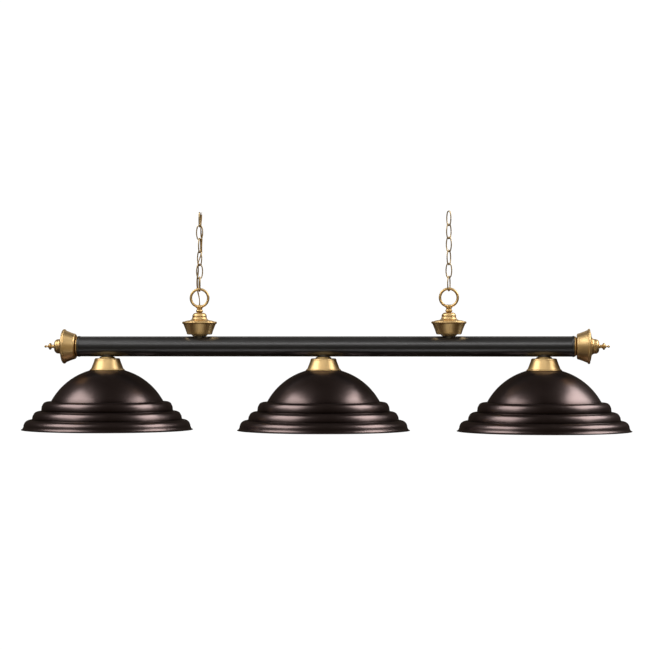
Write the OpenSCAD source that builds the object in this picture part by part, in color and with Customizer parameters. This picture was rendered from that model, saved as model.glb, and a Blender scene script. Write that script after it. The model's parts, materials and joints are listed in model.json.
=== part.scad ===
/* [Bar] */
// Length of the black tube
tube_length = 1174; // [900:1:1500]
// Outer diameter of the tube
tube_d = 48.3; // [44:0.1:52]
// Wall thickness of the tube
tube_wall = 1.6; // [1.2:0.1:3]
// Distance between neighbouring lights
light_pitch = 521; // [440:1:560]
// Distance between the two hanging loops
hanger_pitch = 595; // [400:1:700]

/* [Cups] */
// Radius of a brass cup at its narrow end
cup_narrow_r = 30.8; // [28:0.1:31.5]
// Radius of a brass cup at its rolled rim
cup_rim_r = 41.6; // [40:0.1:42.4]
// Height of a brass cup
cup_h = 31.2; // [29:0.1:33]
// Thickness of the spun brass sheet
brass_t = 1.2; // [1:0.1:1.6]

/* [Shades] */
// Distance from the tube's axis down to the shade's rim
shade_drop = 199.7; // [195:0.1:215]
// Radius of the flat lip at the rim
rim_r = 205.5; // [203:0.1:210]
// Radius of the spherical dome
dome_r = 152.4; // [150:0.1:154]
// Thickness of the spun steel shade
shade_t = 1; // [0.8:0.1:2]

/* [Hanging] */
// Outer diameter of a hanging loop's ring
ring_d = 48; // [44:0.5:52]
// Wire diameter of that ring
ring_wire = 6.2; // [5:0.1:6.6]
// Middle radius of a chain link's round ends
link_end_r = 5.7; // [5.4:0.1:6]
// Middle radius of a chain link's long curved sides
link_side_r = 42.7; // [40:0.1:45]
// Angle up from level at which a link's side meets its end
link_blend = 18; // [17.5:0.1:18.2]
// Wire diameter of a chain link
link_wire = 3; // [2.6:0.1:3.1]
// Play between two links, or between a link and a ring
link_play = 0.4; // [0.3:0.05:0.6]
// Diameter of the supply cord
cord_d = 4; // [3.4:0.1:4.2]

/* [Hidden] */
$fn = 96;

sides = ["left", "right"];
lights = ["left", "middle", "right"];
SIDE_PARTS = ["end_ring", "end_cup", "end_dome", "finial",
              "hanger_neck", "hanger_cup", "hanger_dome", "hanging_loop",
              "top_link", "second_link", "chain_links"];
LIGHT_PARTS = ["fitter_neck", "fitter_cup", "socket_cap", "socket_body", "screw_shell",
               "shade_ring", "shade", "bulb_glass", "bulb_base"];

// Colours
BLACK = [0.10, 0.10, 0.10];
GOLD = [0.72, 0.55, 0.28];
BRONZE = [0.19, 0.12, 0.11];
PHENOLIC = [0.12, 0.11, 0.10];
STEEL = [0.70, 0.70, 0.68];
GLASS = [0.95, 0.95, 0.92];
CORD = [0.66, 0.46, 0.18];

// Chain. The height 0 is the inside top of the top links, where the ceiling hooks bear
links = 6;
link_centres = link_side_r - link_end_r;
link_end_y = link_centres * sin(link_blend);
link_inner = 2 * (link_end_y + link_end_r) - link_wire;
link_pitch = link_inner - link_play;
link_w = 2 * (link_side_r - link_centres * cos(link_blend)) + link_wire;
left_turns = [88, -4, 80, -40, 28, -72];
right_first_turn = -48;
right_step = 95.6;
right_turns = [for (k = [0:links - 1]) right_first_turn + right_step * k];

// Heights along the hanging stack, measured up from the tube's axis
tube_r = tube_d / 2;
saddle_r = 15;
saddle_low = floor(10 * sqrt(tube_r * tube_r - saddle_r * saddle_r) - 1) / 10;
saddle_top = tube_r + 0.6;
neck_h = 3.5;
cup_low = saddle_top + neck_h;
rim_bead = 3;
dome_low = cup_h - rim_bead - 0.2;
dome_h = 24;
loop_low = cup_low + dome_low + dome_h;
collar_h = 14.3;
ring_r = (ring_d - ring_wire) / 2;
ring_rise = loop_low + collar_h + ring_r;

// Height of the tube's axis below the hooks
ring_z = -(link_inner + (links - 1) * link_pitch) + link_play - ring_r + ring_wire / 2;
bar_z = ring_z - ring_rise;

// Stack at each end of the tube: the plug's flange, then the ring, the cup and the finial
flange_l = 5;
end_ring_l = 5.5;
plug_l = 8;

// Lights, measured down from the tube's axis
shade_seat = cup_low + cup_h;
hole_r = 20.6;
socket_top = cup_low + brass_t;
socket_joint = 52;
socket_floor = socket_joint + 14;
socket_low = 95;
bulb_tip = 70;
bulb_seat = 96;
bulb_end = 180;

// Clearances and fasteners
nipple_r = 4.9;
nipple_bore = 3.5;
nipple_hole = nipple_r + 0.3;
nut_r = 8 / cos(30);
nut_h = 4;
tube_bore_r = tube_r - tube_wall;
nut_low = sqrt(tube_bore_r * tube_bore_r - nut_r * nut_r) - nut_h - 0.15;
rod_r = 2.6;
rod_out = end_ring_l + dome_low + dome_h + 5.7;
rod_hole = rod_r + 0.2;
screw_y = 6;
screw_r = 1.5;
screw_l = 9;
wire_r = 1.1;

// Route of the supply cord beside the left chain: sideways, backward, height
cord_route = [
    [4.4, 0.4, -4], [4.5, -0.4, -10], [4.4, -1.6, -18], [4.1, -3.4, -25], [3.9, -4.1, -31],
    [3.4, -2.9, -39], [3.3, 0, -47], [3.6, 2.4, -55], [4.6, 3.6, -62], [4.4, 2.5, -70],
    [4.2, 1.6, -78], [4.2, 1.4, -86], [4.4, 1.6, -93], [2.6, 1.2, -101], [0, 0.2, -109],
    [-1.7, -3.3, -116], [-2.3, -5.9, -124], [-2.4, -4.6, -132], [-3, -1.6, -140],
    [-4.4, 0.9, -148], [-5.5, 1.9, -155], [-6, 1.4, -163], [-6, 1.8, -170],
    [-5.9, 4, -177], [-5.7, 5.9, -183], [-4.5, 5.7, -190], [-2.4, 3.2, -197],
    [-0.7, 1.1, -204], [0, 0, -211], [0, 0, -222], [0, 0, -250], [0, 0, -278],
    [0, 0, -306], [1.2, 0, -312], [4.7, 0, -317], [10, 0, -321], [16, 0, -322], [23, 0, -322],
    [30, 0, -322]];

// Splices of the cord to the lamp leads
splice_x = -hanger_pitch / 2 + 50;
splice_l = 28;
splice_y = 7;
splice_z = bar_z - 4.5;
splice_r = 4.6;

// Functions for outlines and swept tubes
function unit(v) = v / norm(v);
function arc(c, r, a0, a1, n) = [for (i = [0:n]) let (a = a0 + (a1 - a0) * i / n) c + r * [cos(a), sin(a)]];
function left_of(v) = [-v[1], v[0]];
function heading(p, i) = unit(p[min(i + 1, len(p) - 1)] - p[max(i - 1, 0)]);
function beside(p, t) = [for (i = [0:len(p) - 1]) p[i] + t * left_of(heading(p, i))];
function off_axis(p) = [for (q = p) [max(q[0], 0), q[1]]];
function backward(p) = [for (i = [len(p) - 1:-1:0]) p[i]];
function side_sign(s) = s == "left" ? -1 : s == "right" ? 1 : 0;
function light_x(s) = side_sign(s) * light_pitch;
function hanger_x(s) = side_sign(s) * hanger_pitch / 2;
function link_z(k) = -link_inner / 2 - k * link_pitch;

// A sheet of thickness t on the left of an outline, spun about the axis
module spun(outline, t) {
    rotate_extrude() polygon(concat(outline, backward(off_axis(beside(outline, t)))));
}

// A round tube swept along points that never run along Y
module swept(points, r, facets) {
    n = len(points);
    rings = [for (i = [0:n - 1]) let (
        t = heading(points, i),
        u = unit(cross(t, [0, 1, 0])),
        v = cross(t, u))
        for (k = [0:facets - 1]) let (a = 360 * k / facets) points[i] + r * (cos(a) * u + sin(a) * v)];
    walls = [for (i = [0:n - 2]) for (k = [0:facets - 1]) let (m = (k + 1) % facets)
        [i * facets + k, i * facets + m, (i + 1) * facets + m, (i + 1) * facets + k]];
    first = [for (k = [facets - 1:-1:0]) k];
    last = [for (k = [0:facets - 1]) (n - 1) * facets + k];
    polyhedron(rings, concat(walls, [first, last]), convexity = 8);
}

// Places a piece at every light, hanger or end, with its axis pointing away from the tube
module at_light(s) translate([light_x(s), 0, bar_z]) rotate([180, 0, 0]) children();
module at_hanger(s) translate([hanger_x(s), 0, bar_z]) children();
module at_end(s) translate([side_sign(s) * (tube_length / 2 + flange_l), 0, bar_z])
    rotate([0, side_sign(s) * 90, 0]) children();
module at_light_cup(s) at_light(s) translate([0, 0, cup_low]) children();
module at_hanger_cup(s) at_hanger(s) translate([0, 0, cup_low]) children();
module at_end_cup(s) at_end(s) translate([0, 0, end_ring_l]) children();

module tube_axis_cylinder(r, l) rotate([0, 90, 0]) cylinder(r = r, h = l, center = true);

// The long black tube, drilled for the nipples
module tube() {
    color(BLACK) translate([0, 0, bar_z]) difference() {
        tube_axis_cylinder(tube_r, tube_length);
        tube_axis_cylinder(tube_bore_r, tube_length + 2);
        for (s = sides) translate([hanger_x(s), 0, 0]) cylinder(r = nipple_hole, h = tube_d);
        for (s = lights) translate([light_x(s), 0, -tube_d]) cylinder(r = nipple_hole, h = tube_d);
    }
}

// Black saddle that fits a flat stack to the round tube
module saddle() {
    color(BLACK) difference() {
        translate([0, 0, saddle_low]) cylinder(r = saddle_r, h = saddle_top - saddle_low);
        tube_axis_cylinder(tube_r, 2 * tube_d);
        cylinder(r = nipple_hole, h = tube_d);
    }
}

module saddles() {
    for (s = sides) at_hanger(s) saddle();
    for (s = lights) at_light(s) saddle();
}

// Brass ring between the saddle and the cup, wider at the cup
module neck_ring() {
    color(GOLD) translate([0, 0, saddle_top]) rotate_extrude() polygon([
        [nipple_hole, 0], [16.2, 0], [17, 0.4], [19.2, 2.8], [19.4, neck_h], [nipple_hole, neck_h]]);
}

// Spun brass cup, standing on its narrow end at height 0
module cup(bore) {
    corner = 4;
    flare = 1.1;
    bead_at = [cup_rim_r - rim_bead, cup_h - rim_bead];
    wall_top = bead_at + [0.4, -2.5];
    outline = concat(
        [[bore, 0]],
        arc([cup_narrow_r - corner, corner], corner, -90, 0, 6),
        [for (i = [1:12]) let (t = i / 12) [
            cup_narrow_r + (wall_top[0] - cup_narrow_r) * pow(t, flare),
            corner + (wall_top[1] - corner) * t]]);
    color(GOLD) rotate_extrude() union() {
        polygon(concat(outline, backward(beside(outline, brass_t))));
        translate(bead_at) circle(r = rim_bead);
    }
}

// Spun brass lid: a shallow skirt, a flare and a small dome, closing the cup below it
module dome(bore) {
    shoulder_r = 17.3;
    round_r = 8.8;
    flare_r = 8;
    edge_r = cup_rim_r - 2 * rim_bead - 0.3;
    outline = concat(
        [[bore, dome_h]],
        arc([shoulder_r - round_r, dome_h - round_r], round_r, 90, 0, 10),
        arc([shoulder_r + flare_r, dome_h - round_r - 0.8], flare_r, 180, 262, 8),
        [[29, 5.6]],
        arc([edge_r - 2.6, 2], 2.6, 70, 0, 4),
        [[edge_r, 0]]);
    color(GOLD) translate([0, 0, dome_low]) spun(outline, -brass_t);
}

// Turned collar with two beads and a round ring, with a way for the cord down its middle
module hanging_loop() {
    neck_r = 6.6;
    low_bead = 4.1;
    high_bead = 4.4;
    thread_l = 6.5;
    color(GOLD) translate([0, 0, loop_low]) difference() {
        union() {
            rotate_extrude() union() {
                square([neck_r, collar_h + high_bead / 2]);
                translate([low_bead, low_bead]) circle(r = low_bead);
                translate([high_bead, collar_h]) circle(r = high_bead);
            }
            translate([0, 0, collar_h + ring_r]) rotate([90, 0, 0])
                rotate_extrude() translate([ring_r, 0]) circle(d = ring_wire);
        }
        translate([0, 0, -1]) cylinder(r = nipple_bore, h = collar_h + ring_wire + 4);
        translate([0, 0, -1]) cylinder(r = nipple_r + 0.05, h = thread_l + 1);
    }
}

// Threaded hollow nipple from height a to height b
module nipple(a, b) {
    color(GOLD) translate([0, 0, a]) difference() {
        cylinder(r = nipple_r, h = b - a);
        translate([0, 0, -1]) cylinder(r = nipple_bore, h = b - a + 2);
    }
}

module threaded_nipples() {
    nipple_low = 11;
    for (s = sides) at_hanger(s) nipple(nipple_low, loop_low + 6);
    for (s = lights) at_light(s) nipple(nipple_low, socket_top + 8);
}

module lock_nut() {
    color(STEEL) translate([0, 0, nut_low]) difference() {
        cylinder(r = nut_r, h = nut_h, $fn = 6);
        translate([0, 0, -1]) cylinder(r = nipple_r + 0.05, h = nut_h + 2);
    }
}

module lock_nuts() {
    for (s = sides) at_hanger(s) lock_nut();
    for (s = lights) at_light(s) lock_nut();
}

// Black moulded plug: a stub pressed into the tube and a flange over the tube's end
module tube_plug() {
    flange_r = tube_r + 0.9;
    edge = 0.8;
    color(BLACK) translate([0, 0, -flange_l]) rotate_extrude() polygon([
        [rod_r, -plug_l], [tube_bore_r, -plug_l], [tube_bore_r, 0], [flange_r - edge, 0],
        [flange_r, edge], [flange_r, flange_l - edge], [flange_r - edge, flange_l], [rod_r, flange_l]]);
}

module tube_plugs() for (s = sides) at_end(s) tube_plug();

// Brass ring that narrows from the plug's flange to the cup
module end_ring() {
    wide_r = 23.9;
    narrow_r = 20.2;
    color(GOLD) rotate_extrude() polygon([
        [rod_hole, 0], [wide_r - 0.6, 0], [wide_r, 0.6], [wide_r, 2], [narrow_r, end_ring_l],
        [rod_hole, end_ring_l]]);
}

module end_rod() {
    rod_in = flange_l + plug_l + 4;
    color(STEEL) translate([0, 0, -rod_in]) cylinder(r = rod_r, h = rod_in + rod_out);
}

module end_rods() for (s = sides) at_end(s) end_rod();

// Turned finial: stem, bead, cone, thin neck and tip bead
module finial() {
    stem_r = 4.4;
    stem_l = 8;
    bead_r = 8.2;
    tip_r = 3.1;
    base = end_ring_l + dome_low + dome_h;
    bead_z = stem_l + 2.9;
    cone_top = bead_z + 7;
    color(GOLD) translate([0, 0, base]) difference() {
        rotate_extrude() polygon(concat(
            [[0, 0], [stem_r + 0.8, 0], [stem_r, 1.4], [stem_r - 0.4, stem_l - 1.5]],
            arc([bead_r - 2.9, bead_z], 2.9, -90, 40, 8),
            [[4.4, bead_z + 4.2], [2.2, cone_top - 1], [1.7, cone_top]],
            arc([0, cone_top + 1 + tip_r], tip_r, -56, 90, 8)));
        translate([0, 0, -1]) cylinder(r = rod_r + 0.05, h = rod_out - base + 1.1);
    }
}

// Socket cap: a boss on the nipple and a flared shell down to the socket body
module socket_cap() {
    boss_r = 8;
    wall = 1.2;
    body_r = 18.9;
    round_r = 9;
    round_z = 14;
    room_z = 10;
    thread_l = 8;
    depth = socket_joint - socket_top;
    color(PHENOLIC) translate([0, 0, socket_top]) difference() {
        rotate_extrude() polygon(concat(
            [[0, 0], [boss_r, 0], [boss_r + 1, round_z - round_r]],
            arc([body_r - round_r, round_z], round_r, -80, 0, 6),
            [[body_r, depth], [0, depth]]));
        translate([0, 0, room_z]) cylinder(r = body_r - round_r - wall, h = depth);
        translate([0, 0, depth - 7]) cylinder(r = body_r - wall, h = 8);
        translate([0, 0, -1]) cylinder(r = nipple_r + 0.05, h = thread_l + 1);
        cylinder(r = nipple_bore, h = room_z + 1);
    }
}

// Moulded socket body with a raised band for the shade ring and a bore for the screw shell
module socket_body() {
    band_r = 19.4;
    root = 18.8;
    bore = 14.6;
    color(PHENOLIC) difference() {
        rotate_extrude() polygon([
            [0, socket_joint], [root, socket_joint], [root, shade_seat - 3], [band_r, shade_seat - 2.4],
            [band_r, shade_seat + 20], [root, shade_seat + 20.6], [root, socket_low], [0, socket_low]]);
        translate([0, 0, socket_floor]) cylinder(r = bore, h = socket_low);
        for (y = [-screw_y, screw_y]) translate([0, y, socket_joint - 1])
            cylinder(r = screw_r + 0.1, h = screw_l + 1);
    }
}

// Medium screw base: radius of the thread at height z for a mean radius r, as plain rings
base_r = 12.7;
base_pitch = 3.63;
base_depth = 0.5;
function thread_r(r, z) = r + base_depth * cos(360 * z / base_pitch);
shell_rows = [for (i = [0:36]) socket_floor + 5 + i * 0.62];

module screw_shell() {
    gap = 0.35;
    sheet = 0.4;
    flange_t = 0.5;
    flange_in = 5;
    inner = [for (z = shell_rows) [thread_r(base_r + gap, z), z]];
    outer = [for (z = shell_rows) [thread_r(base_r + gap + sheet, z), z]];
    color(GOLD) rotate_extrude() polygon(concat(inner, backward(outer), [
        [base_r + 0.5, socket_floor], [flange_in, socket_floor],
        [flange_in, socket_floor + flange_t], [base_r + 0.1, socket_floor + flange_t]]));
}

// Sprung tongue at the bottom of the socket, with its contact button
module centre_contact() {
    tongue = [5, 8, 0.8];
    color(GOLD) {
        translate([-tongue[0] / 2, -tongue[1] / 2, socket_floor]) cube(tongue);
        translate([0, 0, socket_floor + 0.4]) cylinder(r = 2, h = bulb_tip - socket_floor - 0.6);
    }
}

module centre_contacts() for (s = lights) at_light(s) centre_contact();

module terminal_screw() {
    head_t = 1.6;
    color(STEEL) union() {
        cylinder(r = screw_r, h = screw_l);
        translate([0, 0, -head_t]) cylinder(r = 2 * screw_r, h = head_t);
    }
}

module terminal_screws() {
    for (s = lights) at_light(s) for (y = [-screw_y, screw_y])
        translate([0, y, socket_joint]) terminal_screw();
}

// Threaded ring that holds the shade up against the cup
module shade_ring() {
    bore = 19.5;
    flange_r = 27;
    ring_h = 7;
    color(PHENOLIC) translate([0, 0, shade_seat + shade_t]) difference() {
        rotate_extrude() polygon([
            [bore / 2, 0], [flange_r, 0], [flange_r, 1.6], [24.6, 2.2], [23.6, ring_h], [bore / 2, ring_h]]);
        translate([0, 0, -1]) cylinder(r = bore, h = ring_h + 2);
    }
}

// One step of the shade: a flat top, a rounded shoulder and a side that slopes out to its foot
function step(inner_r, top, side_r, round_w, round_h, foot_r, foot) = concat(
    [[inner_r, top]],
    [for (a = [0:15:90]) [side_r - round_w * (1 - sin(a)), top + round_h * (1 - cos(a))]],
    [[foot_r, foot]]);

// Spun steel shade: seat under the cup, spherical dome, three rounded steps, flat lip
module shade() {
    dome_centre = shade_drop + 4.1;
    foot_a = 29.3;
    crown_a = 73.3;
    dome_foot_r = dome_r * cos(foot_a);
    outline = concat(
        [[hole_r, shade_seat], [cup_rim_r + 0.4, shade_seat], [cup_rim_r + 1.4, shade_seat - 0.7]],
        [for (i = [0:20]) let (a = crown_a + (foot_a - crown_a) * i / 20)
            [dome_r * cos(a), dome_centre - dome_r * sin(a)]],
        step(dome_foot_r + 1.5, shade_drop - 67, 154.1, 12, 8.4, 157.9, shade_drop - 46.8),
        step(159.6, shade_drop - 43.9, 175.7, 13.5, 8.8, 179.8, shade_drop - 25.7),
        step(181.6, shade_drop - 23.3, 198.5, 16, 17, 199.2, shade_drop - 2.6),
        [[200.6, shade_drop - 1 - shade_t], [rim_r, shade_drop - shade_t]]);
    color(BRONZE) spun(outline, shade_t);
}

// Glass bulb, open at its neck
module bulb_glass() {
    globe = 30;
    neck = 13;
    glass_t = 0.8;
    centre = bulb_end - globe;
    join_a = 36;
    join = [globe * cos(join_a), centre - globe * sin(join_a)];
    neck_top = bulb_seat + 4;
    outline = concat(
        arc([0, centre], globe, 90, -join_a, 16),
        [for (i = [1:6]) let (t = 1 - i / 6)
            [neck + (join[0] - neck) * pow(t, 1.6), neck_top + (join[1] - neck_top) * t]],
        [[neck, bulb_seat]]);
    color(GLASS) spun(outline, -glass_t);
}

module bulb_base() {
    rows = [for (z = shell_rows) if (z > bulb_tip + 5) [thread_r(base_r, z), z]];
    collar_r = base_r + 0.4;
    color(STEEL) rotate_extrude() polygon(concat(
        [[0, bulb_tip], [4.4, bulb_tip], [5, bulb_tip + 1.2], [8, bulb_tip + 3], [12, bulb_tip + 4.6]],
        rows, [[collar_r, bulb_seat - 1.5], [collar_r, bulb_seat], [0, bulb_seat]]));
}

// One oval chain link made of four arcs, hanging with its middle at height 0
module wire_arc(r, start, angle)
    rotate_extrude(angle = angle, start = start) translate([r, 0]) circle(d = link_wire);

module link_quarter() {
    intersection() {
        translate([0, link_end_y, 0]) rotate([0, 0, link_blend]) union() {
            wire_arc(link_end_r, 0, 90);
            translate([-link_centres, 0, 0]) wire_arc(link_side_r, -30, 30);
        }
        translate([0, 0, -link_wire]) cube([link_w, link_inner, 2 * link_wire]);
    }
}

module link(turn) {
    color(GOLD) rotate([0, 0, turn]) rotate([90, 0, 0]) union() {
        for (x = [0, 1]) for (y = [0, 1]) mirror([x, 0, 0]) mirror([0, y, 0]) link_quarter();
    }
}

module chain(s, first, last) {
    turns = s == "left" ? left_turns : right_turns;
    for (k = [first:last]) translate([hanger_x(s), 0, link_z(k)]) link(turns[k]);
}

// Sleeves that join the cord's two cores to the lamp leads
module splice_sleeves() {
    for (y = [-splice_y, splice_y]) color("ivory")
        translate([splice_x, y, splice_z]) rotate([0, 90, 0]) cylinder(r = splice_r, h = splice_l);
}

// Lead from a splice along the tube and down through a nipple to a terminal screw
module light_lead(s, y, level, run_z) {
    down = socket_joint - 3;
    outward = s == "left" ? -1 : 1;
    start_x = s == "left" ? splice_x : splice_x + splice_l;
    x = light_x(s);
    bend = 9;
    side_y = y * splice_y;
    drop_y = y * 1.4;
    swept([
        [start_x, side_y, splice_z + level],
        [start_x + outward * 12, side_y, splice_z + level],
        [x - outward * 40, side_y, run_z],
        [x - outward * (bend + 6), drop_y, run_z],
        [x - outward * bend, drop_y, run_z],
        [x - outward * bend * 0.3, drop_y, run_z - bend * 0.3],
        [x, drop_y, run_z - bend],
        [x, drop_y, bar_z - socket_top - 9],
        [x + 0.2, y * 4, bar_z - down + 1],
        [x + 0.2, y * screw_y, bar_z - down]], wire_r, 8);
}

module lead_wires() {
    cord_end = cord_route[len(cord_route) - 1] + [-hanger_pitch / 2 + 0.2, 0, 0];
    core_l = 4;
    for (y = [-1, 1]) color(y < 0 ? "black" : "white") {
        light_lead("left", y, -2.4, bar_z - 4);
        light_lead("middle", y, -2.4, bar_z - 4);
        light_lead("right", y, 2.4, bar_z + 3);
        swept([cord_end + [0, y, 0], cord_end + [1.5, y, 0],
               [splice_x - core_l, y * splice_y, splice_z + 2],
               [splice_x, y * splice_y, splice_z + 2]], wire_r * 0.8, 8);
    }
}

// Supply cord, with two short stripped leads at its upper end
module supply_cord() {
    route = [for (p = cord_route) p + [-hanger_pitch / 2, 0, 0]];
    strip = 6.5;
    color(CORD) swept(route, cord_d / 2, 8);
    color("peru") for (x = [-0.9, 0.9])
        translate(route[0] + [x, 0, -0.5]) cylinder(d = 1, h = strip, $fn = 8);
}

tube();
saddles();
tube_plugs();
threaded_nipples();
lock_nuts();
end_rods();
centre_contacts();
terminal_screws();
splice_sleeves();
lead_wires();
supply_cord();
for (s = sides) {
    at_end(s) end_ring();
    at_end_cup(s) cup(rod_hole);
    at_end_cup(s) dome(rod_hole);
    at_end(s) finial();
    at_hanger(s) neck_ring();
    at_hanger_cup(s) cup(nipple_hole);
    at_hanger_cup(s) dome(nipple_hole);
    at_hanger(s) hanging_loop();
    chain(s, 0, 0);
    chain(s, 1, 1);
    chain(s, 2, links - 1);
}
for (s = lights) {
    at_light(s) neck_ring();
    at_light_cup(s) cup(nipple_hole);
    at_light(s) socket_cap();
    at_light(s) socket_body();
    at_light(s) screw_shell();
    at_light(s) shade_ring();
    at_light(s) shade();
    at_light(s) bulb_glass();
    at_light(s) bulb_base();
}
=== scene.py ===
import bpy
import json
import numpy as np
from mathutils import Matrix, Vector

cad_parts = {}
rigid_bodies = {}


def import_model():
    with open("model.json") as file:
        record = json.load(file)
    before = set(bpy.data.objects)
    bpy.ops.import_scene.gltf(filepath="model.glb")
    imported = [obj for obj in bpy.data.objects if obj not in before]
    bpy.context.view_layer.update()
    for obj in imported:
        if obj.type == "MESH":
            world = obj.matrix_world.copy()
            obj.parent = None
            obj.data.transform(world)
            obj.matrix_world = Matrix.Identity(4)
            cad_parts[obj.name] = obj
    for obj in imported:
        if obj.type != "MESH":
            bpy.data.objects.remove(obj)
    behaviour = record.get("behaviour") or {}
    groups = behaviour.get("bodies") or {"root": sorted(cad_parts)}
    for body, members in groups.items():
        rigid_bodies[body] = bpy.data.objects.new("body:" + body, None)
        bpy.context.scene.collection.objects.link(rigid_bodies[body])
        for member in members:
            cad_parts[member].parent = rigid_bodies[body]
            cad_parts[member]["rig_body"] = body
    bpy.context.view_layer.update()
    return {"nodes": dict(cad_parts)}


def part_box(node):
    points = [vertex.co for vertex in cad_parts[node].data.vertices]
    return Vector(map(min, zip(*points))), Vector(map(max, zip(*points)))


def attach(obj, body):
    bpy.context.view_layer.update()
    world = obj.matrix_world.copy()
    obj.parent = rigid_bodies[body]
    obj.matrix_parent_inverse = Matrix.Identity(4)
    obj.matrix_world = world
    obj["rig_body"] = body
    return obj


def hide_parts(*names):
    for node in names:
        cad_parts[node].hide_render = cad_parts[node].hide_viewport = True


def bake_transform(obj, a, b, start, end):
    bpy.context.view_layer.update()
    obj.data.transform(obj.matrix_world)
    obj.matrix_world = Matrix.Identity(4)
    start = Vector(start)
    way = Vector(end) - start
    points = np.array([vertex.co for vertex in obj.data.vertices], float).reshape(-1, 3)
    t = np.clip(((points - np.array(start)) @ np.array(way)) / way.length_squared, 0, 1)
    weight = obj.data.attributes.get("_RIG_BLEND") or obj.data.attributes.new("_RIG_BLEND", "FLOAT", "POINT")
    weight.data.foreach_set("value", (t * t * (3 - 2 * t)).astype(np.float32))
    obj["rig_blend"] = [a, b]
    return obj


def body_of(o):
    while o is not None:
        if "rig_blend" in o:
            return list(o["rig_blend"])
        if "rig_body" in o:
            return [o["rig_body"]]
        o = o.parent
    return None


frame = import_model()

import json
from math import atan2, cos, hypot, pi, radians, sin

import bmesh
import bpy
from mathutils import Matrix, Vector

# Lengths below are millimetres times MM, angles are degrees until radians() takes them.
MM = 0.001
SIDES = ("left", "right")
LIGHTS = ("left", "middle", "right")
SIGN = {"left": -1, "right": 1}
ROUND = 144                # facets round a turned piece
MOULDED = 96               # facets round a smaller one
CRISP_EDGE = radians(38)   # edges that turn more than this stay crisp
NIPPLE_HOLE_R = 5.2 * MM   # hole for the threaded nipple that holds each stack together
BRASS_SHEET = 1.2 * MM     # wall of the spun cups and domes


# ---------------------------------------------------------------- measures from the frame
def middle(node):
    """Centre of a node's box."""
    low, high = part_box(node)
    return (low + high) / 2


def extent(node):
    """Size of a node's box."""
    low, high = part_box(node)
    return high - low


AXIS_Z = middle("tube").z
TUBE_R = extent("tube").z / 2
TUBE_L = extent("tube").x


def light_place(side):
    """Frame at the tube's axis above one light, with its Z pointing down."""
    x = middle(f"{side}_shade").x
    return Matrix.Translation((x, 0, AXIS_Z)) @ Matrix.Rotation(pi, 4, "X")


def hanger_place(side):
    """Frame at the tube's axis below one hanging loop, with its Z pointing up."""
    return Matrix.Translation((middle(f"{side}_hanger_cup").x, 0, AXIS_Z))


def end_place(side):
    """Frame on the tube's axis at its middle, with its Z pointing out of one end."""
    return Matrix.Translation((0, 0, AXIS_Z)) @ Matrix.Rotation(SIGN[side] * pi / 2, 4, "Y")


def reach(node, place):
    """Near end, far end and radius of a node, measured along and round a place's Z."""
    low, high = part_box(node)
    inverse = place.inverted()
    ends = [inverse @ low, inverse @ high]
    along = sorted(p.z for p in ends)
    radius = max(abs(p.y) for p in ends)
    return along[0], along[1], radius


# ---------------------------------------------------------------- outlines
def arc(centre, radius, start, end, steps):
    """Points on a circular arc, from start to end in degrees."""
    turns = [radians(start + (end - start) * i / steps) for i in range(steps + 1)]
    return [(centre[0] + radius * cos(a), centre[1] + radius * sin(a)) for a in turns]


def beside(points, distance):
    """The same line moved sideways, to its left when distance is above 0."""
    moved = []
    last = len(points) - 1
    for i, point in enumerate(points):
        before, after = points[max(i - 1, 0)], points[min(i + 1, last)]
        dx, dy = after[0] - before[0], after[1] - before[1]
        length = hypot(dx, dy)
        moved.append((max(point[0] - distance * dy / length, 0), point[1] + distance * dx / length))
    return moved


def rounded(corners, steps=4):
    """Closed outline from (x, y, corner radius) points."""
    outline = []
    count = len(corners)
    for i, (x, y, radius) in enumerate(corners):
        corner = Vector((x, y))
        to_before = Vector(corners[i - 1][:2]) - corner
        to_after = Vector(corners[(i + 1) % count][:2]) - corner
        room = 0.49 * min(to_before.length, to_after.length)
        to_before.normalize()
        to_after.normalize()
        half = to_before.angle(to_after) / 2
        if radius <= 0 or half > radians(88):
            outline.append((x, y))
            continue
        cut = min(radius / sin(half) * cos(half), room)
        first, last = corner + to_before * cut, corner + to_after * cut
        for k in range(steps + 1):
            t = k / steps
            point = first * (1 - t) ** 2 + corner * 2 * t * (1 - t) + last * t ** 2
            outline.append((point.x, point.y))
    return outline


# ---------------------------------------------------------------- mesh tools
def finish_mesh(name, work, smooth=CRISP_EDGE):
    """Object from a bmesh, with its faces turned outward and shaded smooth."""
    bmesh.ops.recalc_face_normals(work, faces=work.faces)
    mesh = bpy.data.meshes.new(name)
    work.to_mesh(mesh)
    work.free()
    mesh.polygons.foreach_set("use_smooth", [True] * len(mesh.polygons))
    mesh.set_sharp_from_angle(angle=smooth)
    piece = bpy.data.objects.new(name, mesh)
    bpy.context.scene.collection.objects.link(piece)
    return piece


def add_spin(work, outline, facets=ROUND):
    """Adds the closed outline, given as (radius, height), spun about Z."""
    on_axis = 1e-6
    rings = []
    for radius, height in outline:
        if radius < on_axis:
            rings.append([work.verts.new((0, 0, height))])
            continue
        turns = [2 * pi * k / facets for k in range(facets)]
        rings.append([work.verts.new((radius * cos(a), radius * sin(a), height)) for a in turns])
    for ring, above in zip(rings, rings[1:] + rings[:1]):
        if len(ring) == 1 and len(above) == 1:
            continue
        for k in range(facets):
            m = (k + 1) % facets
            corners = [ring[k % len(ring)], ring[m % len(ring)],
                       above[m % len(above)], above[k % len(above)]]
            work.faces.new(dict.fromkeys(corners))


def spun(name, outline, facets=ROUND):
    """Object made by spinning a closed outline about Z."""
    work = bmesh.new()
    add_spin(work, outline, facets)
    return finish_mesh(name, work)


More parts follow.
